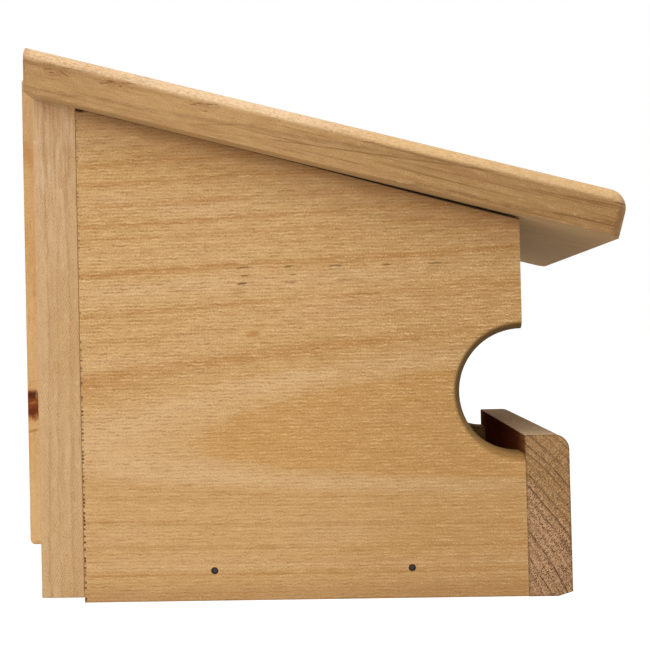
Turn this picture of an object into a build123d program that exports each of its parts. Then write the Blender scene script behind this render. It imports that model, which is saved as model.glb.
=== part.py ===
"""Open-front wooden nesting box: seven boards nailed together, one of them a mounting batten.

Frame: +Z up, the open front faces -Y, X runs across the box. The origin is the centre of
the whole object's footprint, on the surface that the side panels stand on.
All lengths are in millimetres.
"""
from build123d import *
from math import cos, radians, sin, tan
import os

# ---- boards -------------------------------------------------------------------------------
board = 19.05                       # planed 3/4 inch pine
roof_thickness = 19.8               # the roof board is a little fuller
box_width = 152.4                   # over both side panels
side_depth = 194.5                  # side panel, rear edge to front edge
rear_height = 218.6                 # side panel at its rear edge
roof_pitch = radians(15.37)         # falls towards the front
roof_width = 174.6                  # 7/16 inch past each side
roof_overhang = 41.3                # roof underside past the side panels' front edge
front_height = 69.9
floor_bottom = 3.7
back_bottom = 2.3
batten_width = 69.0
batten_bottom = 17.4

# ---- shaped and worn edges ----------------------------------------------------------------
notch_radius = 27.5                 # half-round notch in each side panel's front edge
notch_height = 88.9
notch_roundover = 4.5
router_radius = 6.35                # the roof's long top edges, the front board's top edge
nose_radius = 8.5                   # the roof's front top edge
edge_break = 0.6                    # lightly sanded edges
batten_corner = 2.5
top_relief = 0.9                    # the side tops leave the roof near the front
top_relief_length = 56.0
corner_gap = (3.2, 1.3)             # missing corner at the rear of the side tops
front_toe = (6.4, 2.0)              # worn lower outer edge of the front board

# ---- nails, screws and holes --------------------------------------------------------------
nail_length = 50.8
nail_shank = 1.25                   # radii
nail_head = 1.6
nail_head_height = 1.9
nail_point = 3.5
nail_set = 0.7                      # heads lie this far below the wood
screw_length = 31.8
screw_shank = 2.1
screw_head = 4.1
screw_head_height = 2.9
screw_point = 6.0
recess_width = 1.0
recess_length = 4.4
recess_depth = 1.6
mount_hole_radius = 3.25            # for 1/4 inch lag screws
mount_hole_heights = (72.0, 172.0)
drain_radius = 3.25
drain_inset = 22.0
cutter_margin = 2.0                 # cutting bodies run this far past a face

# ---- where the fasteners go ---------------------------------------------------------------
side_floor_depths = (57.8, 144.3)   # in front of the side panels' rear edge
side_roof_depths = (28.0, 96.0, 164.0)
side_back_heights = (34.0, 102.0, 170.0)
side_front_heights = (24.0, 47.0)
floor_nail_offset = 38.0            # through the back and front boards, each side of X = 0
back_roof_offset = 46.0             # with one more at X = 0
back_roof_inset = 6.7               # behind the side panels' rear edge
batten_screw_offset = 20.0
batten_screw_heights = (48.0, 200.0)

# ---- worked out from them -----------------------------------------------------------------
slope = tan(roof_pitch)
half_width = box_width / 2
inner_half = half_width - board
edge_middle = half_width - board / 2            # middle of a side panel's thickness
floor_middle = floor_bottom + board / 2
roof_normal = Vector(0, -sin(roof_pitch), cos(roof_pitch))
nose_loss = nose_radius * (sin(roof_pitch) + cos(roof_pitch) - 1)   # trimmed by the rounding
front_reach = side_depth + roof_overhang + roof_thickness * sin(roof_pitch) - nose_loss
rear = (front_reach - 2 * board) / 2            # Y of the side panels' rear edge
front = rear - side_depth                       # Y of the side panels' front edge
back_face = rear + board                        # Y of the back board's rear face
batten_face = back_face + board                 # Y of the batten's rear face
front_face = front - board                      # Y of the front board's outer face


def roof_underside(y):
    """Height of the roof's lower face at the given Y."""
    return rear_height + slope * (y - rear)


roof_rise = roof_thickness / cos(roof_pitch)    # the roof's thickness measured plumb
batten_top = roof_underside(back_face) + roof_rise      # level with the roof's rear top edge


# ---- fastener planes: their +Z points out of the wood -------------------------------------
def side_floor_nails(side):
    """Two nails through a side panel into the floor's edge."""
    return [Plane((side * half_width, rear - depth, floor_middle), z_dir=(side, 0, 0))
            for depth in side_floor_depths]


def side_back_nails(side):
    """Three nails through the back board into a side panel's rear edge."""
    return [Plane((side * edge_middle, back_face, height), z_dir=(0, 1, 0))
            for height in side_back_heights]


def side_front_nails(side):
    """Two nails through the front board into a side panel, below its notch."""
    return [Plane((side * edge_middle, front_face, height), z_dir=(0, -1, 0))
            for height in side_front_heights]


def side_roof_nails(side):
    """Three nails through the roof into a side panel's top edge."""
    return [roof_plane(side * edge_middle, rear - depth) for depth in side_roof_depths]


def roof_plane(x, y):
    """Plane on the roof's upper face, square above a point of its lower face."""
    foot = Vector(x, y, roof_underside(y))
    return Plane(foot + roof_normal * roof_thickness, z_dir=roof_normal)


floor_back_nails = [Plane((side * floor_nail_offset, back_face, floor_middle), z_dir=(0, 1, 0))
                    for side in (-1, 1)]
floor_front_nails = [Plane((side * floor_nail_offset, front_face, floor_middle), z_dir=(0, -1, 0))
                     for side in (-1, 1)]
back_roof_nails = [roof_plane(side * back_roof_offset, rear + back_roof_inset)
                   for side in (-1, 0, 1)]
batten_screws = [Plane((side * batten_screw_offset, batten_face, height), z_dir=(0, 1, 0))
                 for side in (-1, 1) for height in batten_screw_heights]


# ---- fastener shapes, added to or cut from the part being built ---------------------------
def spin(place, outline, mode):
    """Revolve an outline of (radius, height) points about a fastener's own axis."""
    upright = Plane(place.origin, x_dir=place.x_dir, z_dir=place.x_dir.cross(place.z_dir))
    with BuildSketch(upright) as section:
        with BuildLine():
            Polyline(*outline, close=True)
        make_face()
    revolve(section.sketch, axis=Axis(place.origin, place.z_dir), mode=mode)


def nail(place, mode=Mode.ADD):
    """Finishing nail with its head set below the wood, or the hole it fills."""
    top = cutter_margin if mode == Mode.SUBTRACT else -nail_set
    head_end = -nail_set - nail_head_height
    outline = [
        (0, top),
        (nail_head, top),
        (nail_head, head_end + nail_head - nail_shank),
        (nail_shank, head_end),
        (nail_shank, nail_point - nail_length),
        (0, -nail_length),
    ]
    spin(place, outline, mode)


def screw(place, mode=Mode.ADD):
    """Countersunk cross-head screw, or the hole it fills."""
    outline = [
        (0, 0),
        (screw_head, 0),
        (screw_shank, -screw_head_height),
        (screw_shank, screw_point - screw_length),
        (0, -screw_length),
    ]
    spin(place, outline, mode)
    if mode == Mode.ADD:
        for turn in (0, 90):
            with BuildSketch(place) as slot:
                Rectangle(recess_width, recess_length, rotation=turn)
            extrude(slot.sketch, amount=-recess_depth, mode=Mode.SUBTRACT)


def drive(places, fastener=nail):
    """Cut the holes of several fasteners out of the part being built."""
    for place in places:
        fastener(place, Mode.SUBTRACT)


def finish(piece, label):
    """Label a finished piece and write its STEP file."""
    piece.part.label = label
    export_step(piece.part, f"parts/{label}.step")


os.makedirs("parts", exist_ok=True)

# ---- side panels: sloping top and a half-round notch in the front edge --------------------
for name, side in (("left_side", -1), ("right_side", 1)):
    low_x = -half_width if side < 0 else inner_half
    with BuildPart() as panel:
        with BuildSketch(Plane.YZ.offset(low_x)):
            with BuildLine():
                Polyline(
                    (rear, 0),
                    (front, 0),
                    (front, roof_underside(front) - top_relief),
                    (front + top_relief_length, roof_underside(front + top_relief_length)),
                    (rear - corner_gap[0], roof_underside(rear - corner_gap[0])),
                    (rear, rear_height - corner_gap[1]),
                    close=True,
                )
            make_face()
            with Locations((front, notch_height)):
                Circle(notch_radius, mode=Mode.SUBTRACT)
        extrude(amount=board)
        rims = panel.edges().filter_by(GeomType.CIRCLE).sort_by(Axis.X)
        fillet(rims[0] if side < 0 else rims[-1], notch_roundover)
        outer = panel.faces().sort_by(Axis.X)[0 if side < 0 else -1]
        straight = outer.edges().filter_by(GeomType.LINE)
        fillet(straight.filter_by(Axis.Y) + straight.group_by(Axis.Y)[-1], edge_break)
        drive(side_floor_nails(side))
        drive(side_back_nails(side))
        drive(side_front_nails(side))
        drive(side_roof_nails(side))
    finish(panel, name)

# ---- back board: across both sides' rear edges, its top bevelled to the roof --------------
with BuildPart() as back_board:
    with BuildSketch(Plane.YZ):
        with BuildLine():
            Polyline(
                (rear, back_bottom),
                (back_face, back_bottom),
                (back_face, roof_underside(back_face)),
                (rear, rear_height),
                close=True,
            )
        make_face()
    extrude(amount=half_width, both=True)
    fillet(back_board.edges().filter_by(Axis.Z), edge_break)
    fillet(back_board.edges().group_by(Axis.Z)[0].filter_by(Axis.X), edge_break)
    drive(side_back_nails(-1) + side_back_nails(1) + floor_back_nails + back_roof_nails)
    drive(batten_screws, screw)
    for height in mount_hole_heights:
        with Locations(Plane((0, back_face, height), z_dir=(0, 1, 0))):
            Hole(mount_hole_radius)
finish(back_board, "back_board")

# ---- mounting batten: narrower upright behind the back board ------------------------------
with BuildPart() as mounting_batten:
    with BuildSketch(Plane.XY.offset(batten_bottom)):
        with Locations((0, back_face + board / 2)):
            Rectangle(batten_width, board)
    extrude(amount=batten_top - batten_bottom)
    fillet(mounting_batten.edges().filter_by(Axis.X), batten_corner)
    fillet(mounting_batten.faces().sort_by(Axis.X)[0].edges(), edge_break)
    fillet(mounting_batten.faces().sort_by(Axis.X)[-1].edges(), edge_break)
    drive(batten_screws, screw)
    for height in mount_hole_heights:
        with Locations(Plane((0, batten_face, height), z_dir=(0, 1, 0))):
            Hole(mount_hole_radius)
finish(mounting_batten, "mounting_batten")

# ---- floor: held between the sides, with drain holes near its corners ---------------------
with BuildPart() as floor_board:
    with BuildSketch(Plane.XY.offset(floor_bottom)):
        with Locations((0, (front + rear) / 2)):
            Rectangle(2 * inner_half, side_depth)
    extrude(amount=board)
    drive(side_floor_nails(-1) + side_floor_nails(1) + floor_back_nails + floor_front_nails)
    with Locations(Plane((0, (front + rear) / 2, floor_bottom + board))):
        with GridLocations(2 * (inner_half - drain_inset), side_depth - 2 * drain_inset, 2, 2):
            Hole(drain_radius)
finish(floor_board, "floor_board")

# ---- front board: low strip that keeps the nest in ----------------------------------------
with BuildPart() as front_board:
    with BuildSketch(Plane.YZ):
        with BuildLine():
            Polyline(
                (front, 0),
                (front_face + front_toe[0], 0),
                (front_face, front_toe[1]),
                (front_face, front_height),
                (front, front_height),
                close=True,
            )
        make_face()
    extrude(amount=half_width, both=True)
    upper = front_board.edges().filter_by(Axis.X).group_by(Axis.Z)[-1]
    fillet(upper.sort_by(Axis.Y)[0], router_radius)
    fillet(upper.sort_by(Axis.Y)[-1], edge_break)
    drive(side_front_nails(-1) + side_front_nails(1) + floor_front_nails)
finish(front_board, "front_board")

# ---- roof: square-cut front end, plumb-cut rear end ---------------------------------------
eave = front - roof_overhang
with BuildPart() as roof_board:
    with BuildSketch(Plane.YZ):
        with BuildLine():
            front_foot = Vector(eave, roof_underside(eave))
            Polyline(
                (back_face, roof_underside(back_face)),
                front_foot,
                front_foot + Vector(-sin(roof_pitch), cos(roof_pitch)) * roof_thickness,
                (back_face, batten_top),
                close=True,
            )
        make_face()
    extrude(amount=roof_width / 2, both=True)
    top_face = roof_board.faces().filter_by(lambda f: f.normal_at().dot(roof_normal) > 0.99)[0]
    fillet(top_face.edges().sort_by(Axis.Y)[0], nose_radius)
    top_face = roof_board.faces().filter_by(lambda f: f.normal_at().dot(roof_normal) > 0.9999)[0]
    fillet(top_face.edges().filter_by(lambda e: abs(e.tangent_at(0.5).X) < 0.1), router_radius)
    drive(side_roof_nails(-1) + side_roof_nails(1) + back_roof_nails)
finish(roof_board, "roof_board")

# ---- fasteners, grouped by the joint that they hold ---------------------------------------
nail_groups = {
    "left_floor_nails": side_floor_nails(-1),
    "right_floor_nails": side_floor_nails(1),
    "left_back_nails": side_back_nails(-1),
    "right_back_nails": side_back_nails(1),
    "left_front_nails": side_front_nails(-1),
    "right_front_nails": side_front_nails(1),
    "left_roof_nails": side_roof_nails(-1),
    "right_roof_nails": side_roof_nails(1),
    "floor_back_nails": floor_back_nails,
    "floor_front_nails": floor_front_nails,
    "back_roof_nails": back_roof_nails,
}
for label, places in nail_groups.items():
    with BuildPart() as nails:
        for place in places:
            nail(place)
    finish(nails, label)

with BuildPart() as screws:
    for place in batten_screws:
        screw(place)
finish(screws, "batten_screws")
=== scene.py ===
"""Looks for an open-front pine nesting box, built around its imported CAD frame.

The boards keep their CAD shape and get solid, procedural pine: growth rings round a pith
line, fibres along the grain, end grain where a surface cuts across it.  Metres, +Z up;
the wood itself is described in millimetres.
"""
from math import cos, radians, sin

import bpy
from mathutils import Matrix, Vector


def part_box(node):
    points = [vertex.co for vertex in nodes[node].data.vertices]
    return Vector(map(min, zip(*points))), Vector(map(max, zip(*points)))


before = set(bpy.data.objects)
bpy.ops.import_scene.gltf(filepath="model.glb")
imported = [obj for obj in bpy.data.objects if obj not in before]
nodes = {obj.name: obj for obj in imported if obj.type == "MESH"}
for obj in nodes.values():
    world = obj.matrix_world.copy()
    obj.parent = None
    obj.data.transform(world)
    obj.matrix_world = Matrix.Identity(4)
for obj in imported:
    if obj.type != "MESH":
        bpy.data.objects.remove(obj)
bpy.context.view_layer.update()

X, Y, Z = Vector((1, 0, 0)), Vector((0, 1, 0)), Vector((0, 0, 1))
MM = 1000.0                                               # millimetres in a metre
ROOF_PITCH = radians(15.37)                               # sizes of the CAD part
ROOF_THICKNESS = 19.8
NOTCH_HEIGHT, NOTCH_RADIUS, NOTCH_RIM = 88.9, 27.5, 4.5
DOWN_ROOF = Matrix.Rotation(ROOF_PITCH, 3, "X") @ -Y      # along the roof, towards the front


def corner(node, x, y, z):
    """Corner of a node's box in millimetres; each argument is 0 for low, 1 for high."""
    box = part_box(node)
    return Vector((box[x].x, box[y].y, box[z].z)) * MM


# ---- node helpers --------------------------------------------------------------------------
class Graph:
    """One material's node tree, with short calls for the nodes that are used a lot."""

    def __init__(self, name):
        self.material = bpy.data.materials.new(name)
        self.material.use_nodes = True
        self.tree = self.material.node_tree
        self.tree.nodes.clear()

    def feed(self, socket, value):
        """Link `value` to the socket if it is a node's output, or else set it there."""
        if isinstance(value, bpy.types.NodeSocket):
            self.tree.links.new(value, socket)
        else:
            socket.default_value = value

    def add(self, kind, inputs=(), **settings):
        node = self.tree.nodes.new(kind)
        for name, value in settings.items():
            setattr(node, name, value)
        for key, value in dict(inputs).items():
            self.feed(node.inputs[key], value)
        return node

    def math(self, operation, *values, clamp=False):
        inputs = dict(enumerate(values))
        return self.add("ShaderNodeMath", inputs, operation=operation, use_clamp=clamp).outputs[0]

    def times(self, first, *others):
        for other in others:
            first = self.math("MULTIPLY", first, other)
        return first

    def vector(self, operation, *values):
        node = self.add("ShaderNodeVectorMath", dict(enumerate(values)), operation=operation)
        return node.outputs["Value" if operation in ("DOT_PRODUCT", "LENGTH") else "Vector"]

    def join(self, x, y, z):
        return self.add("ShaderNodeCombineXYZ", {0: x, 1: y, 2: z}).outputs[0]

    def smooth(self, value, low, high, to_low=0.0, to_high=1.0):
        """Smooth step from to_low to to_high while value goes from low to high."""
        if low > high:
            low, high, to_low, to_high = high, low, to_high, to_low
        inputs = {"Value": value, "From Min": low, "From Max": high,
                  "To Min": to_low, "To Max": to_high}
        node = self.add("ShaderNodeMapRange", inputs, interpolation_type="SMOOTHSTEP")
        return node.outputs["Result"]

    def noise(self, vector, detail=2.0, roughness=0.5, distortion=0.0):
        inputs = {"Vector": vector, "Scale": 1.0, "Detail": detail,
                  "Roughness": roughness, "Distortion": distortion}
        return self.add("ShaderNodeTexNoise", inputs).outputs[0]

    def mix(self, factor, first, second):
        node = self.add("ShaderNodeMix", data_type="RGBA")
        self.feed(node.inputs[0], factor)
        self.feed(node.inputs[6], first)
        self.feed(node.inputs[7], second)
        return node.outputs[2]


def srgb(red, green, blue):
    """Linear colour with alpha from 0-255 display values."""
    def linear(channel):
        value = channel / 255
        return value / 12.92 if value <= 0.04045 else ((value + 0.055) / 1.055) ** 2.4
    return (linear(red), linear(green), linear(blue), 1.0)


# ---- pine ----------------------------------------------------------------------------------
class Pine(Graph):
    """Bare planed pine for one board, measured in millimetres from `start`.

    `along` runs with the grain, `across` over the board's width, `depth` square to both.
    Each method lays one more feature over the colour and the height that are there.
    """

    def __init__(self, name, node, grain, across, pale, seed, start=None):
        super().__init__(name)
        self.node, self.seed = node, seed
        start = start or (corner(node, 0, 0, 0) + corner(node, 1, 1, 1)) / 2
        self.grain = grain.normalized()
        self.width = (across - self.grain * across.dot(self.grain)).normalized()
        spot = self.add("ShaderNodeTexCoord").outputs["Object"]
        self.spot = self.vector("MULTIPLY", spot, (MM, MM, MM))
        place = self.vector("SUBTRACT", self.spot, tuple(start))
        self.along = self.vector("DOT_PRODUCT", place, tuple(self.grain))
        self.across = self.vector("DOT_PRODUCT", place, tuple(self.width))
        self.depth = self.vector("DOT_PRODUCT", place, tuple(self.grain.cross(self.width)))
        self.normal = self.add("ShaderNodeNewGeometry").outputs["Normal"]
        self.end = self.smooth(self.math("ABSOLUTE", self.facing(self.grain)), 0.35, 0.95)
        self.flat = self.math("SUBTRACT", 1.0, self.end)
        self.colour = pale
        self.height = 0.0

    # masks and distances
    def facing(self, direction):
        """1.0 where the surface looks along `direction`, -1.0 where it looks the other way."""
        return self.vector("DOT_PRODUCT", self.normal, tuple(direction))

    def streaks(self, across, along, seed=0, detail=2.0, distortion=0.0):
        """Noise with features of the given sizes across and along the grain."""
        offset = 17.3 * (self.seed + seed)
        vector = self.join(
            self.math("MULTIPLY_ADD", self.across, 1 / across, offset),
            self.math("MULTIPLY_ADD", self.depth, 1 / across, offset),
            self.math("MULTIPLY_ADD", self.along, 1 / along, offset),
        )
        return self.noise(vector, detail, distortion=distortion)

    def ragged(self, value, across, along, amount, seed=0):
        """A distance made uneven by up to about half of `amount`."""
        rough = self.math("SUBTRACT", self.streaks(across, along, seed, detail=3.0), 0.5)
        return self.math("MULTIPLY_ADD", rough, amount, value)

    def around(self, along, height, size, tilt=0.0, level=None):
        """Distance from a spot on a face, 1.0 at the rim of an ellipse `size` long and high."""
        over = self.math("SUBTRACT", self.along, along)
        up = self.math("SUBTRACT", level or self.across, height)
        turned = self.math("ADD", self.times(over, cos(tilt)), self.times(up, sin(tilt)))
        raised = self.math("SUBTRACT", self.times(up, cos(tilt)), self.times(over, sin(tilt)))
        return self.vector("LENGTH", self.join(self.times(turned, 2 / size[0]),
                                               self.times(raised, 2 / size[1]), 0.0))

    def pith_distance(self, pith, lean=(0.0, 0.0), under=1.0, straighten=1.0, bend=4.0,
                      wobble=2.0):
        """Distance from a pith line through `pith`, (across, depth), which leans with the grain.

        `under` tightens the halves of the rings below the pith; `straighten` weakens the lean
        far above it; `bend` and `wobble` make the rings uneven at large and at small.
        """
        level = self.math("MULTIPLY_ADD", self.along, -lean[0], -pith[0])
        level = self.math("ADD", self.across, level)
        self.above = self.smooth(level, -5.0, 5.0)
        level = self.times(level, self.smooth(level, -12.0, 12.0, under, 1.0))
        tip = self.times(self.along, -lean[1], self.smooth(level, 25.0, 80.0, 1.0, straighten))
        inward = self.math("ADD", self.math("SUBTRACT", self.depth, pith[1]), tip)
        radius = self.vector("LENGTH", self.join(level, inward, 0.0))
        radius = self.ragged(radius, 24.0, 130.0, bend, seed=1)
        radius = self.ragged(radius, 4.0, 26.0, wobble, seed=2)
        return self.ragged(radius, 0.9, 5.0, 1.4 * wobble, seed=15)

    # ways to use a mask
    def tint(self, factor, colour):
        self.colour = self.mix(factor, self.colour, colour)

    def raise_by(self, height):
        self.height = self.math("ADD", self.height, height)

    # features
    def bands(self, radius, colour, marks, where=1.0):
        """Rings placed one by one: each mark is its radius, its width and how dark it is."""
        total = 0.0
        for middle, width, dark in marks:
            inner = self.smooth(radius, middle - 0.65 * width, middle, 0.0, dark)
            outer = self.smooth(radius, middle, middle + 0.45 * width, 1.0, 0.0)
            total = self.math("MAXIMUM", total, self.times(inner, outer))
        uneven = self.smooth(self.streaks(4.0, 38.0, seed=3), 0.3, 0.6, 0.55, 1.0)
        self.tint(self.times(total, uneven, where), colour)

    def rings(self, colour, spacing, radius, uneven=0.45, strength=0.8, gradual=0.4,
              line=(0.70, 0.90), where=1.0):
        """Yearly rings; `gradual` is how much of the darkening comes slowly and `line` is
        where in a ring the dark line stands."""
        turn = self.times(radius, 1 / spacing)
        stretch = self.noise(self.join(self.times(turn, 0.45), 3.1 * self.seed, 0.0), 0.0)
        turn = self.math("MULTIPLY_ADD", stretch, 2 * uneven, turn)
        year = self.math("FLOOR", turn)
        part = self.math("FRACT", turn)
        slow = self.smooth(part, 0.15, line[1], 0.0, gradual)
        quick = self.smooth(part, *line, 0.0, 1.0 - gradual)
        late = self.times(self.math("ADD", slow, quick), self.smooth(part, line[1], 1.0, 1.0, 0.0))
        luck = self.add("ShaderNodeTexWhiteNoise", {"W": year}, noise_dimensions="1D").outputs[0]
        late = self.times(late, self.math("MULTIPLY_ADD", luck, 0.7, 0.3))
        late = self.times(late, self.smooth(self.streaks(5.0, 55.0, seed=3), 0.3, 0.6, 0.55, 1.0))
        late = self.times(late, where)
        self.tint(self.times(late, strength), colour)
        self.raise_by(self.times(late, 0.35))

    def patches(self, colour, size, strength, seed=4):
        """Broad soft patches of another tone, drawn out along the grain."""
        patch = self.smooth(self.streaks(*size, seed, detail=3.0, distortion=0.3), 0.45, 0.75)
        self.tint(self.times(patch, strength), colour)

    def fibres(self, dark, light, strength=0.8, pitch=1.58, rows=0.68, grit=1.0, lift=0.5):
        """Woolly surface: broken wavy rows of raised fibre, streaks between them, and grit."""
        full_turn = 6.2832
        level = self.ragged(self.across, 2.2, 3.6, 1.3 * pitch, seed=5)
        wave = self.math("SINE", self.times(level, full_turn / pitch))
        patchy = self.smooth(self.streaks(2.0, 6.0, seed=6), 0.3, 0.7, 0.1, 1.0)
        lines = self.times(wave, patchy, rows)
        streak = self.math("SUBTRACT", self.streaks(1.4, 7.0, seed=7, detail=3.0), 0.5)
        lines = self.math("MULTIPLY_ADD", streak, 1.9, lines)
        lines = self.times(lines, self.flat)
        speck = self.noise(self.vector("MULTIPLY", self.spot, (1.9, 1.9, 1.9)), 1.0, 0.6)
        speck = self.math("SUBTRACT", speck, 0.5)
        lines = self.math("MULTIPLY_ADD", speck, 3.4 * grit, lines)
        self.tint(self.smooth(lines, 0.0, 1.3, 0.0, strength), dark)
        self.tint(self.smooth(lines, 0.0, -1.3, 0.0, strength), light)
        self.raise_by(self.times(lines, -lift))

    def flecks(self, colour, amount=0.6):
        """Sparse short brown dashes, where resin canals come to the surface."""
        dash = self.smooth(self.streaks(0.45, 3.2, seed=20, detail=1.0), 0.735, 0.79)
        self.tint(self.times(dash, amount, self.flat), colour)

    def blot(self, away, colour, strength, core=0.35, dent=0.5):
        """A soft-edged mark where the distance `away` is under 1."""
        mark = self.smooth(away, core, 1.0, strength, 0.0)
        self.tint(mark, colour)
        self.raise_by(self.times(mark, -dent))

    def end_grain(self, colour, ring, strength=0.75, pores=0.55):
        """Cut ends: darker, with rows of open pores."""
        self.tint(self.times(self.end, strength), colour)
        cells = self.add("ShaderNodeTexVoronoi", {
            "Vector": self.join(self.across, self.depth, self.times(self.along, 0.06)),
            "Scale": 0.95, "Randomness": 1.0}).outputs["Distance"]
        patchy = self.smooth(self.streaks(7.0, 60.0, seed=8), 0.35, 0.6, 0.35, 1.0)
        holes = self.times(self.smooth(cells, 0.16, 0.42, 1.0, 0.0), self.end, patchy)
        self.tint(self.times(holes, pores), ring)
        self.raise_by(self.times(holes, -1.1))

    def worn(self, colour, reach, strength, face_axes):
        """Handled edges: another tone within `reach` of the board's box edges."""
        low, high = corner(self.node, 0, 0, 0), corner(self.node, 1, 1, 1)
        split = self.add("ShaderNodeSeparateXYZ", {0: self.spot}).outputs
        nearest = MM                                      # a metre, past every edge
        for axis in face_axes:
            nearest = self.math("MINIMUM", nearest, self.math("SUBTRACT", split[axis], low[axis]))
            nearest = self.math("MINIMUM", nearest, self.math("SUBTRACT", high[axis], split[axis]))
        nearest = self.ragged(nearest, 3.0, 6.0, 2.2 * reach, seed=9)
        self.tint(self.smooth(nearest, 0.0, reach, strength, 0.0), colour)

    def finish(self, relief=0.00025, gloss=0.72, sheen=0.2):
        """Shade the board with what was laid down."""
        bump = self.add("ShaderNodeBump", {
            "Height": self.height, "Distance": relief, "Strength": 1.0}).outputs[0]
        rough = self.math("MULTIPLY_ADD", self.height, -0.10, gloss, clamp=True)
        shader = self.add("ShaderNodeBsdfPrincipled", {
            "Base Color": self.colour, "Roughness": rough, "Normal": bump,
            "Specular IOR Level": sheen})
        output = self.add("ShaderNodeOutputMaterial")
        self.tree.links.new(shader.outputs[0], output.inputs["Surface"])
        dress(self.node, self.material)


def dress(node, material):
    """Give a CAD node its material."""
    mesh = nodes[node].data
    mesh.materials.clear()
    mesh.materials.append(material)


# ---- the boards ----------------------------------------------------------------------------
# The last of these three colours is painted shade, for the torn-out chips on the side panels' rear
# edges.
AMBER, UMBER, CHIP_SHADE = srgb(176, 126, 68), srgb(104, 66, 42), srgb(74, 36, 16)


def notch_marks(wood):
    """Round tool lines on the notch's rounded rim and wall; the rim is darkened, partly the routed
    wood's olive-brown and partly painted shade, most high up, and is paler and golden low down.
    """
    centre = Vector((0, corner(wood.node, 0, 0, 0).y, NOTCH_HEIGHT))
    out = wood.vector("MULTIPLY", wood.vector("SUBTRACT", wood.spot, tuple(centre)), (0, 1, 1))
    out = wood.vector("LENGTH", out)
    turned = wood.smooth(wood.math("ABSOLUTE", wood.facing(X)), 0.80, 0.985, 1.0, 0.0)
    rim = NOTCH_RADIUS + NOTCH_RIM
    cut = wood.times(turned, wood.smooth(out, rim - 0.5, rim + 1.0, 1.0, 0.0))
    wave = wood.math("ADD", out, wood.depth)
    wave = wood.math("MULTIPLY_ADD", wood.streaks(9.0, 14.0, seed=10), 1.2, wave)
    wave = wood.math("SINE", wood.times(wave, 4.2))
    up = wood.math("MULTIPLY_ADD", wood.across, 1 / NOTCH_RADIUS, -NOTCH_HEIGHT / NOTCH_RADIUS)
    # Painted shade, in part: the rim darker all round and darkest high up, with a paler golden tone
    # low down.
    wood.tint(wood.times(cut, wood.smooth(up, -0.9, 0.2, 0.6, 1.0)), srgb(106, 80, 42))
    wood.tint(wood.times(cut, wood.smooth(up, -0.6, -1.0, 0.0, 0.5)), srgb(180, 134, 68))
    wood.tint(wood.times(cut, wood.smooth(up, 0.3, 0.95, 0.0, 0.55)), srgb(84, 62, 32))
    wood.tint(wood.times(cut, wood.smooth(wave, 0.1, 1.0), 0.34), srgb(98, 68, 34))
    wood.raise_by(wood.times(cut, wave, 0.2))


def torn_corner(wood):
    """Dark flecks where the saw tore the rear edge: painted shade in the torn-out chips, closer and
    darker lower down.
    """
    cells = wood.add("ShaderNodeTexVoronoi", {"W": wood.times(wood.across, 0.62), "Scale": 1.0},
                     voronoi_dimensions="1D")
    chosen = wood.add("ShaderNodeSeparateColor", {0: cells.outputs["Color"]}).outputs[0]
    share = wood.smooth(wood.across, 10.0, 150.0, 0.9, 0.5)
    dot = wood.smooth(cells.outputs["Distance"], 0.18, 0.42, 1.0, 0.0)
    dot = wood.times(dot, wood.smooth(wood.math("SUBTRACT", share, chosen), 0.0, 0.5, 0.0, 1.0))
    deep = wood.smooth(wood.across, 20.0, 190.0, 1.0, 0.5)
    edge = wood.smooth(wood.ragged(wood.along, 1.0, 2.0, 0.9, seed=19), 0.7, 1.3, 1.0, 0.0)
    # painted shade in the torn-out chips
    wood.tint(wood.times(edge, dot, deep), CHIP_SHADE)


def roller_marks(wood, first, heights, pitch=20.9, count=5):
    """Prints of a planer's feed roller: short dark dashes at an even pitch, fading away.

    There is a row at each height, and the first one fades the least.
    """
    for turn in range(count):
        for row, height in enumerate(heights):
            kept = 0.90 if row == 0 else 0.62             # share of the last dash's strength
            along = first + pitch * turn + 1.2 * sin(5.0 * turn + 2.0 * row)
            length = 6.5 + 1.5 * cos(3.0 * turn + row)
            away = wood.around(along, height, (length, 1.1), tilt=radians(1.5))
            away = wood.ragged(away, 1.0, 3.0, 2.6, seed=11 + turn)
            wood.blot(away, srgb(84, 50, 22), 0.72 * kept ** turn)


def painted_shade_under_roof(wood, reach=22.0):
    """Painted shade on the side panel along the roof's underside: a dark band at the contact, a
    patchy brown band below it that is partly the wood's own tone, and a near-black painted shadow
    in the thin gap between the side's top and the roof, wider towards the front and at the rear
    corner.
    """
    top = Vector((0, corner("back_board", 0, 1, 0).y, corner("back_board", 0, 0, 1).z))
    out = DOWN_ROOF.cross(X).normalized()
    below = wood.vector("DOT_PRODUCT", wood.vector("SUBTRACT", wood.spot, tuple(top)), tuple(out))
    below = wood.math("ABSOLUTE", below)
    gap = wood.math("SUBTRACT", below, wood.smooth(wood.along, 70.0, 180.0, 0.15, 1.3))
    gap = wood.math("SUBTRACT", gap, wood.smooth(wood.along, 5.0, 2.0, 0.0, 0.9))
    # Painted shade under the roof: a dark band at the contact, then a patchy brown band below it,
    # partly the wood's own tone.
    wood.tint(wood.smooth(below, 0.0, 6.0, 0.35, 0.0), srgb(112, 74, 40))
    shade_band = wood.ragged(below, 2.2, 16.0, 22.0, seed=16)
    wood.tint(wood.smooth(shade_band, 0.0, reach, 0.5, 0.0), srgb(138, 96, 58))
    # Painted shadow: a near-black line in the gap between the side's top and the roof.
    wood.tint(wood.smooth(gap, -0.25, 0.25, 0.97, 0.0), srgb(22, 12, 4))


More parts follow.
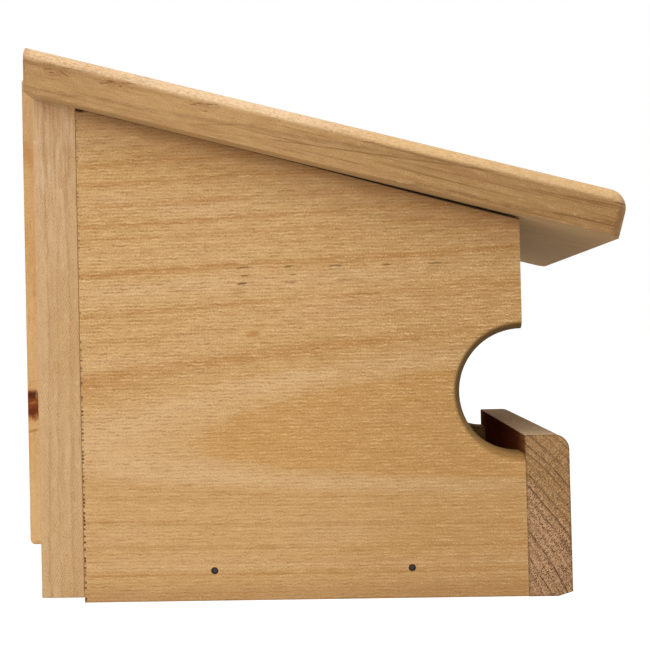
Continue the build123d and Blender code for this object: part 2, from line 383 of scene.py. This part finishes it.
# Rings of the near side panel over and under its pith: radius, width and how dark each is.
RINGS_ABOVE = ((53.0, 8.5, 0.75), (64.0, 3.0, 0.30), (69.9, 2.6, 0.30), (73.4, 3.2, 0.60),
               (88.5, 4.2, 0.90), (96.8, 2.6, 0.35), (101.7, 3.0, 0.45), (107.8, 3.2, 0.65),
               (115.9, 3.6, 0.65), (125.1, 3.2, 0.60), (133.3, 3.8, 0.70))
RINGS_BELOW = ((48.4, 2.2, 0.35), (52.1, 2.2, 0.25), (61.3, 2.8, 0.65), (72.8, 2.8, 0.55),
               (80.0, 2.4, 0.35), (86.5, 3.4, 0.60))


def side_panel(name, node, seed, upper=(), lower=()):
    """Flat-sawn side: rings cut low, so that a flame opens towards the front."""
    wood = Pine(name, node, -Y, Z, srgb(197, 157, 104), seed, corner(node, 0, 1, 0))
    wood.patches(srgb(193, 150, 92), (20.0, 120.0), 0.6)
    wood.patches(srgb(202, 163, 118), (14.0, 70.0), 0.5, seed=12)
    radius = wood.pith_distance((67.0, 44.0), (0.035, -0.10), under=1.35, straighten=0.15,
                                bend=1.6, wobble=1.5)
    wood.bands(radius, srgb(207, 170, 124), ((43.5, 9.0, 0.8), (81.5, 9.0, 0.6)))
    wood.tint(wood.smooth(radius, 38.0, 39.4, 0.75, 0.0), srgb(190, 143, 82))
    if upper:
        wood.bands(radius, AMBER, upper, wood.above)
        wood.bands(radius, AMBER, lower, wood.math("SUBTRACT", 1.0, wood.above))
    else:
        wood.rings(AMBER, 11.6, radius, strength=0.7, uneven=0.5)
    # Darker towards the front end, partly the wood's tone and partly painted shade where the light
    # falls off.
    wood.tint(wood.smooth(wood.along, 70.0, 185.0, 0.0, 0.40), srgb(162, 120, 66))
    calm = wood.smooth(wood.across, 40.0, 125.0, 0.6, 0.9)
    wood.fibres(srgb(156, 111, 58), srgb(222, 184, 136), calm)
    wood.flecks(srgb(132, 88, 48))
    roller_marks(wood, 73.2, (145.9, 142.3, 138.9))
    wood.blot(wood.around(77.0, 116.7, (10.0, 4.8)), srgb(172, 112, 44), 0.7, core=0.05)
    # painted shade along the roof's underside
    painted_shade_under_roof(wood)
    # Darker within the bottom few millimetres, partly as painted shade near the floor.
    low_down = wood.ragged(wood.across, 2.0, 20.0, 6.0, seed=17)
    wood.tint(wood.smooth(low_down, 2.0, 11.0, 0.35, 0.0), srgb(158, 112, 62))
    torn_corner(wood)
    wood.end_grain(srgb(160, 124, 82), UMBER)
    notch_marks(wood)
    wood.finish()


# Marks on the near side of the roof, by their distance from its rear end and from its underside.
# A tear then has its length and its tilt in degrees, a line also how dark it is, and a stain
# has only its length.
ROOF_TEARS = ((8.0, 12.0, 4.5, 8), (10.0, 10.8, 3.5, 4), (14.5, 12.0, 5.0, -24),
              (16.5, 11.2, 4.0, -22), (34.5, 12.2, 7.5, 18), (36.0, 13.3, 5.0, 6),
              (43.0, 14.0, 8.0, 8), (40.5, 12.0, 2.5, 10), (72.5, 11.6, 6.5, 20),
              (74.0, 12.6, 5.0, 10), (81.0, 13.8, 8.0, 12), (79.0, 10.2, 3.0, 5),
              (151.0, 14.0, 6.0, 12))
ROOF_LINES = ((165.0, 10.5, 205.0, 5.6, 0.55), (90.0, 7.0, 52.0, 13.0, 0.3),
              (245.0, 3.6, 60.0, 1.5, 0.6), (246.0, 11.8, 64.0, 2.2, 0.6))
ROOF_STAINS = ((12.0, 11.5, 16.0), (38.5, 13.0, 18.0), (77.0, 12.4, 20.0))


def roof_marks(wood, inside):
    """Torn fibres, long dark lines and soft stains, kept off where `inside` is 1.0."""
    stroke = wood.ragged(0.0, 1.0, 2.5, 2.4, seed=13)
    stroke = wood.math("ADD", stroke, inside)
    for along, height, length, tilt in ROOF_TEARS:
        away = wood.around(along, height, (length, 0.85), radians(tilt), wood.depth)
        wood.blot(wood.math("ADD", away, stroke), srgb(96, 58, 32), 0.62)
    for along, height, length, tilt, dark in ROOF_LINES:
        away = wood.around(along, height, (length, 1.1), radians(tilt), wood.depth)
        away = wood.math("ADD", wood.ragged(away, 1.2, 14.0, 1.6, seed=21), inside)
        wood.blot(away, srgb(112, 72, 36), dark, core=0.1)
    for along, height, length in ROOF_STAINS:
        away = wood.around(along, height, (length, 5.0), radians(8), wood.depth)
        wood.blot(wood.math("ADD", away, stroke), srgb(142, 96, 54), 0.45, core=0.0, dent=0.0)


def rounded_edge(wood):
    """Pale mottled band on the roof's rounded top edges, pinkish and then golden towards the front,
    partly the fresh-cut wood's tone and partly a painted highlight; and a paler underside, which is
    painted light from below."""
    upward = wood.facing(wood.grain.cross(wood.width))
    rounded = wood.times(wood.smooth(upward, 0.05, 0.4), wood.smooth(upward, 0.97, 0.999, 1.0, 0.0))
    mottle = wood.streaks(0.75, 1.8, seed=18, detail=4.0)
    golden = wood.smooth(wood.along, 120.0, 165.0)
    pinkish = wood.times(wood.smooth(wood.along, 20.0, 70.0), wood.smooth(wood.along, 150.0, 110.0))
    # The pale and whitish tints on the band are partly painted highlight on the rounding.
    wood.tint(wood.times(rounded, 0.40), srgb(204, 168, 124))
    wood.tint(wood.times(rounded, wood.smooth(mottle, 0.75, 0.30), 0.6), srgb(232, 200, 162))
    wood.tint(wood.times(rounded, pinkish, 0.25), srgb(236, 208, 172))
    wood.tint(wood.times(rounded, wood.smooth(mottle, 0.50, 0.80), 0.5), srgb(172, 124, 76))
    wood.tint(wood.times(rounded, golden, 0.45), srgb(208, 168, 108))
    # Painted light: the underside is paler, as if lit from the floor below.
    wood.tint(wood.smooth(upward, -0.7, -0.98, 0.0, 0.5), srgb(190, 158, 112))


def roof_tip(wood, start, inside):
    """Dark torn strip at the near corner of the roof's front end, and a split beside it."""
    foot = corner("roof_board", 0, 0, 0) + Vector((0, ROOF_THICKNESS * sin(ROOF_PITCH), 0))
    tip = (foot - start).dot(wood.grain)
    torn = wood.ragged(wood.along, 0.8, 1.6, 4.0, seed=22)
    near = wood.smooth(wood.across, 3.5, 0.5, 0.0, 0.6)
    wood.tint(wood.times(wood.smooth(torn, tip - 2.4, tip - 0.8), near), srgb(112, 76, 40))
    split = wood.around(tip - 2.0, 13.8, (15.0, 1.3), radians(4), wood.depth)
    split = wood.math("ADD", wood.ragged(split, 1.2, 5.0, 1.2, seed=24), inside)
    wood.blot(split, srgb(92, 58, 30), 0.75, core=0.2)


def roof():
    """Roof board: fine lines that climb towards the front, and a paler rounded-over edge that is
    partly painted highlight.
    """
    start = Vector((corner("roof_board", 0, 0, 0).x, corner("roof_board", 0, 1, 0).y,
                    corner("back_board", 0, 0, 1).z))
    wood = Pine("roof_wood", "roof_board", DOWN_ROOF, X, srgb(183, 143, 94), 4, start)
    wood.patches(srgb(164, 122, 76), (9.0, 60.0), 0.7)
    wood.patches(srgb(192, 154, 98), (6.0, 60.0), 0.6, seed=12)
    # Darker towards the front end, partly the wood's tone and partly painted shade where the light
    # falls off.
    wood.tint(wood.smooth(wood.along, 60.0, 250.0, 0.0, 0.62), srgb(138, 100, 56))
    wood.tint(wood.smooth(wood.along, 75.0, 10.0, 0.0, 0.35), srgb(150, 112, 70))
    radius = wood.pith_distance((60.0, -58.0), (0.02, 0.085), wobble=1.6)
    wood.rings(srgb(96, 60, 28), 7.0, radius, uneven=0.7, strength=0.85, gradual=0.25,
               line=(0.86, 0.95))
    wood.fibres(srgb(138, 96, 52), srgb(206, 170, 124), 0.75, rows=0.15, grit=0.75)
    line = wood.smooth(wood.streaks(1.1, 70.0, seed=23, detail=3.0), 0.52, 0.70, 0.0, 0.65)
    wood.tint(wood.times(line, wood.smooth(wood.along, 60.0, 150.0, 0.45, 1.0)), srgb(118, 78, 40))
    wood.flecks(srgb(104, 64, 34), 0.7)
    inside = wood.smooth(wood.across, 3.0, 9.0)           # 0.0 at the board's near side
    roof_marks(wood, inside)
    rounded_edge(wood)
    roof_tip(wood, start, inside)
    wood.worn(srgb(150, 106, 60), 2.0, 0.4, (1,))
    wood.end_grain(srgb(176, 136, 94), UMBER)
    wood.finish()


FRONT_PITH = (-109.0, -140.0)                             # across and depth, from its middle


def front_pores(wood, radius, outer):
    """Rows of open pores that follow the rings of the cut ends, and two clusters of pits."""
    outward = wood.vector("NORMALIZE", wood.join(
        wood.math("SUBTRACT", wood.across, FRONT_PITH[0]),
        wood.math("SUBTRACT", wood.depth, FRONT_PITH[1]), 0.0))
    rows_per_mm = 1.2
    closeness = 285.0                                     # how tightly a row's pores follow on
    turn = wood.vector("DOT_PRODUCT", outward, (closeness, 0.0, 0.0))
    pores = wood.add("ShaderNodeTexVoronoi", {
        "Vector": wood.join(wood.times(radius, rows_per_mm), turn, 0.0),
        "Scale": 1.0, "Randomness": 0.5}).outputs["Distance"]
    patchy = wood.smooth(wood.streaks(6.0, 60.0, seed=8), 0.3, 0.6, 0.55, 1.0)
    patchy = wood.times(patchy, wood.end, wood.smooth(outer, 0.2, 1.0, 1.0, 0.6))
    hole = wood.times(wood.smooth(pores, 0.44, 0.14), patchy)
    wood.tint(wood.times(hole, 0.9), srgb(86, 50, 30))
    wood.tint(wood.times(wood.smooth(pores, 0.48, 0.74), patchy, 0.65), srgb(214, 176, 138))
    for depth, height, reach in ((-2.6, -27.0, 6.0), (8.6, 4.0, 1.8)):
        over = wood.vector("LENGTH", wood.join(wood.math("SUBTRACT", wood.depth, depth),
                                               wood.math("SUBTRACT", wood.across, height), 0.0))
        wood.tint(wood.times(wood.smooth(pores, 0.42, 0.25), wood.end,
                             wood.smooth(over, reach, 0.5 * reach)), srgb(50, 30, 18))
    wood.raise_by(wood.times(hole, -1.5))


def front():
    """Front board: its cut ends show steep rings, rows of open pores and a few pits; its top face
    is paler with painted light and its inner face darker with painted shade.
    """
    wood = Pine("front_wood", "front_board", X, Z, srgb(190, 148, 104), 5)
    wood.patches(srgb(176, 130, 84), (12.0, 90.0), 0.5)
    radius = wood.pith_distance(FRONT_PITH, bend=3.0, wobble=0.6)
    wood.end_grain(srgb(174, 132, 96), UMBER, 0.7, pores=0.0)
    outer = wood.smooth(radius, 172.0, 186.0)
    wood.tint(wood.times(outer, wood.end, 0.7), srgb(148, 112, 60))
    wood.fibres(srgb(124, 84, 50), srgb(212, 176, 132), 0.7, grit=1.0)
    front_pores(wood, radius, outer)
    wood.rings(srgb(78, 46, 26), 3.3, radius, uneven=0.5, strength=0.95, gradual=0.35,
               line=(0.62, 0.86))
    close = wood.times(wood.smooth(wood.depth, -1.0, 5.0), wood.smooth(wood.across, -4.0, -16.0))
    wood.rings(srgb(78, 46, 26), 1.5, radius, uneven=0.3, strength=0.8, gradual=0.3, where=close)
    skyward = wood.facing(Z)
    # Painted light: the top face is made much paler, as if lit though the roof shades it, and
    # palest at the near end.
    wood.tint(wood.smooth(skyward, 0.6, 0.95, 0.0, 0.95), srgb(250, 208, 158))
    near_end = wood.smooth(wood.along, 10.0, -70.0, 0.0, 0.6)
    wood.tint(wood.times(wood.smooth(skyward, 0.6, 0.95), near_end), srgb(255, 226, 184))
    inward = wood.facing(Y)
    away_from_end = wood.smooth(wood.along, -75.0, -50.0, 0.55, 0.96)
    # Painted shade: the inner face, inside the box, is tinted dark red-brown, less so near the near
    # end.
    wood.tint(wood.times(wood.smooth(inward, 0.6, 0.95), away_from_end), srgb(116, 36, 6))
    wood.worn(srgb(104, 66, 36), 1.2, 0.5, (1, 2))
    wood.finish(sheen=wood.smooth(inward, 0.6, 0.95, 0.2, 0.0))


# Knot and blotch of the batten: height, size, colour, how strong it is and its solid core.
BATTEN_MARKS = ((67.5, (24.0, 14.0), srgb(184, 118, 52), 0.8, 0.2),
                (67.5, (17.0, 12.0), srgb(120, 54, 10), 0.95, 0.55),
                (72.5, (5.0, 9.0), srgb(78, 32, 10), 0.9, 0.2),
                (64.5, (5.0, 9.0), srgb(96, 42, 14), 0.85, 0.2),
                (68.6, (2.2, 6.5), srgb(166, 106, 56), 0.8, 0.1),
                (55.0, (1.6, 9.0), srgb(170, 116, 64), 0.7, 0.3),
                (190.0, (22.0, 9.0), srgb(186, 124, 56), 0.7, 0.2))


def batten():
    """Mounting batten: golden, with one dark knot low on its near side and a blotch high up."""
    wood = Pine("batten_wood", "mounting_batten", Z, X, srgb(212, 171, 117), 3,
                corner("mounting_batten", 0, 0, 0))
    wood.patches(srgb(190, 142, 80), (9.0, 60.0), 0.6)
    wood.rings(AMBER, 4.6, wood.pith_distance((34.0, -30.0), wobble=1.2), strength=0.5)
    wood.fibres(srgb(164, 118, 68), srgb(222, 184, 134), 0.6, rows=0.3)
    off_the_board = 16.5                                  # the marks' middle, from the back board
    spike = wood.smooth(wood.across, 4.0, 22.0, 0.0, 1.3)
    for height, size, colour, strength, core in BATTEN_MARKS:
        away = wood.around(height, off_the_board, size, radians(12.0), level=wood.depth)
        away = wood.math("ADD", wood.ragged(away, 2.0, 3.0, 0.8, seed=14), spike)
        wood.blot(away, colour, strength, core=core)
    wood.tint(wood.smooth(wood.along, 130.0, 215.0, 0.0, 0.45), srgb(170, 134, 92))
    wood.tint(wood.smooth(wood.along, 50.0, 20.0, 0.0, 0.35), srgb(226, 190, 142))
    wood.worn(srgb(170, 120, 70), 2.5, 0.4, (2,))
    wood.end_grain(srgb(178, 136, 92), UMBER)
    wood.finish()


def back_marks(wood):
    """The back board's edges, with saw hatching and streaks high up, and its paler rear."""
    sideways = wood.smooth(wood.math("ABSOLUTE", wood.facing(X)), 0.5, 0.9)
    hatch = wood.math("ADD", wood.times(wood.along, 2.5), wood.times(wood.depth, 5.4))
    hatch = wood.math("SINE", wood.ragged(hatch, 3.0, 9.0, 6.0, seed=25))
    faint = wood.smooth(wood.streaks(6.0, 16.0, seed=26), 0.35, 0.6, 0.08, 0.38)
    wood.tint(wood.times(wood.smooth(hatch, 0.0, 1.0), faint, sideways), srgb(158, 112, 62))
    high_up = wood.times(wood.smooth(wood.along, 10.0, 85.0), sideways)
    line = wood.streaks(1.1, 13.0, seed=27, detail=3.0)
    wood.tint(wood.times(high_up, 0.14), srgb(232, 196, 164))
    wood.tint(wood.times(wood.smooth(line, 0.50, 0.66), high_up, 0.5), srgb(176, 126, 92))
    wood.tint(wood.times(wood.smooth(line, 0.50, 0.36), high_up, 0.35), srgb(240, 212, 184))
    wood.tint(wood.smooth(wood.depth, 6.0, 9.0, 0.0, 0.4), srgb(228, 194, 146))


def plain_board(name, node, grain, pale, seed, ring, pith_depth, worn_axes, marks=None):
    """A board with plain rings and fibres, which may have `marks` of its own on top."""
    wood = Pine(name, node, grain, X, pale, seed)
    wood.patches(srgb(196, 154, 98), (16.0, 110.0), 0.5)
    wood.patches(srgb(204, 164, 124), (4.0, 60.0), 0.5, seed=12)
    radius = wood.pith_distance((0.0, pith_depth), wobble=1.0)
    wood.rings(srgb(160, 110, 70), ring, radius, strength=1.0)
    wood.fibres(srgb(166, 120, 66), srgb(226, 192, 144), 0.75, rows=0.3, grit=1.25)
    if marks:
        marks(wood)
    wood.worn(srgb(172, 130, 84), 3.0, 0.4, worn_axes)
    wood.end_grain(srgb(172, 134, 98), UMBER)
    wood.finish()


def steel(name, node_names, colour, rough):
    """Steel, darkened by painted shade where the wood around it shuts it in, and patchy with spots.
    """
    graph = Graph(name)
    spot = graph.vector("MULTIPLY", graph.add("ShaderNodeTexCoord").outputs["Object"], (MM,) * 3)
    spots = graph.noise(graph.vector("MULTIPLY", spot, (2.0,) * 3), 4.0)
    # Painted shade: ambient occlusion darkens the heads near the rims of their holes.
    open_sky = graph.add("ShaderNodeAmbientOcclusion", {"Distance": 0.0016}).outputs["AO"]
    spots_and_shade = graph.math("MULTIPLY_ADD", spots, 0.3, open_sky)
    tone = graph.mix(graph.smooth(spots_and_shade, 0.74, 1.06), srgb(14, 13, 18), colour)
    bump = graph.add("ShaderNodeBump", {"Height": spots, "Distance": 0.00015}).outputs[0]
    shader = graph.add("ShaderNodeBsdfPrincipled", {
        "Base Color": tone, "Metallic": 0.5, "Normal": bump,
        "Roughness": graph.math("MULTIPLY_ADD", spots, 0.3, rough)})
    output = graph.add("ShaderNodeOutputMaterial")
    graph.tree.links.new(shader.outputs[0], output.inputs["Surface"])
    for node in node_names:
        dress(node, graph.material)


side_panel("side_wood_left", "left_side", 1, RINGS_ABOVE, RINGS_BELOW)
side_panel("side_wood_right", "right_side", 9)
roof()
front()
batten()
plain_board("back_wood", "back_board", Z, srgb(220, 187, 142), 2, 3.4, -60.0, (0, 2), back_marks)
plain_board("floor_wood", "floor_board", -Y, srgb(200, 160, 108), 6, 6.0, -70.0, (0, 1))
steel("nail_finish", [name for name in nodes if name.endswith("_nails")], srgb(68, 60, 58), 0.45)
steel("screw_finish", ["batten_screws"], srgb(176, 172, 160), 0.3)


# ---- stage, lights and camera --------------------------------------------------------------
def stage_floor():
    """Large pale floor: it looks white but for soft shade, and sends back less than it seems to."""
    size = 30.0
    mesh = bpy.data.meshes.new("studio_floor")
    corners = [(-size, -size, 0), (size, -size, 0), (size, size, 0), (-size, size, 0)]
    mesh.from_pydata(corners, [], [(0, 1, 2, 3)])
    floor = bpy.data.objects.new("studio_floor", mesh)
    bpy.context.scene.collection.objects.link(floor)
    graph = Graph("studio_floor_paint")
    dull = graph.add("ShaderNodeBsdfDiffuse", {"Color": (0.85, 0.83, 0.79, 1)}).outputs[0]
    shade = graph.add("ShaderNodeBsdfDiffuse", {"Color": (0.20, 0.20, 0.20, 1)}).outputs[0]
    glow = graph.add("ShaderNodeEmission", {"Strength": 0.97}).outputs[0]
    bright = graph.add("ShaderNodeAddShader", {0: shade, 1: glow}).outputs[0]
    seen = graph.add("ShaderNodeLightPath").outputs["Is Camera Ray"]
    choice = graph.add("ShaderNodeMixShader", {0: seen, 1: dull, 2: bright}).outputs[0]
    output = graph.add("ShaderNodeOutputMaterial")
    graph.tree.links.new(choice, output.inputs["Surface"])
    mesh.materials.append(graph.material)


def studio_world(ambient):
    """White surroundings, dimmer as a light than they look."""
    world = bpy.data.worlds.new("studio")
    bpy.context.scene.world = world
    world.use_nodes = True
    tree = world.node_tree
    back = tree.nodes["Background"]
    back.inputs["Color"].default_value = (1, 1, 1, 1)
    path = tree.nodes.new("ShaderNodeLightPath")
    level = tree.nodes.new("ShaderNodeMapRange")
    level.inputs["To Min"].default_value = ambient
    level.inputs["To Max"].default_value = 1.0
    tree.links.new(path.outputs["Is Camera Ray"], level.inputs["Value"])
    tree.links.new(level.outputs[0], back.inputs["Strength"])


def softbox(name, place, target, size, power):
    """Square area light that looks from its place towards a target."""
    lamp = bpy.data.lights.new(name, "AREA")
    lamp.shape = "SQUARE"
    lamp.size = size
    lamp.energy = power
    light = bpy.data.objects.new(name, lamp)
    light.location = place
    light.rotation_euler = (Vector(target) - Vector(place)).to_track_quat("-Z", "Y").to_euler()
    bpy.context.scene.collection.objects.link(light)


CAMERA_YAW, CAMERA_PITCH, CAMERA_ROLL = radians(1.896), radians(0.773), radians(-1.352)
CAMERA_DISTANCE = 0.42525                                 # metres from the near side panel
CAMERA_BEFORE_REAR = 0.1228                               # metres in front of its rear edge
CAMERA_HEIGHT = 0.1141                                    # metres over the base


def set_camera():
    """Camera square on to the near side panel but for a small turn, tilt and roll."""
    camera_data = bpy.data.cameras.new("camera")
    camera_data.sensor_width = 36.0
    camera_data.lens = 53.77
    camera_data.clip_start = 0.01
    camera = bpy.data.objects.new("camera", camera_data)
    bpy.context.scene.collection.objects.link(camera)
    low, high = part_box("left_side")
    place = Vector((low.x - CAMERA_DISTANCE, high.y - CAMERA_BEFORE_REAR, CAMERA_HEIGHT))
    turn = (Matrix.Rotation(CAMERA_YAW - radians(90), 4, "Z")
            @ Matrix.Rotation(CAMERA_PITCH + radians(90), 4, "X")
            @ Matrix.Rotation(CAMERA_ROLL, 4, "Z"))
    camera.matrix_world = Matrix.Translation(place) @ turn
    bpy.context.scene.camera = camera


stage_floor()
studio_world(0.42)
softbox("top_light", (-0.25, 0.10, 1.40), (0, 0, 0.1), 1.0, 14.0)
softbox("side_light", (-1.60, 0.45, 0.85), (0, 0, 0.12), 1.0, 12.5)
set_camera()
bpy.context.scene.view_settings.view_transform = "Standard"
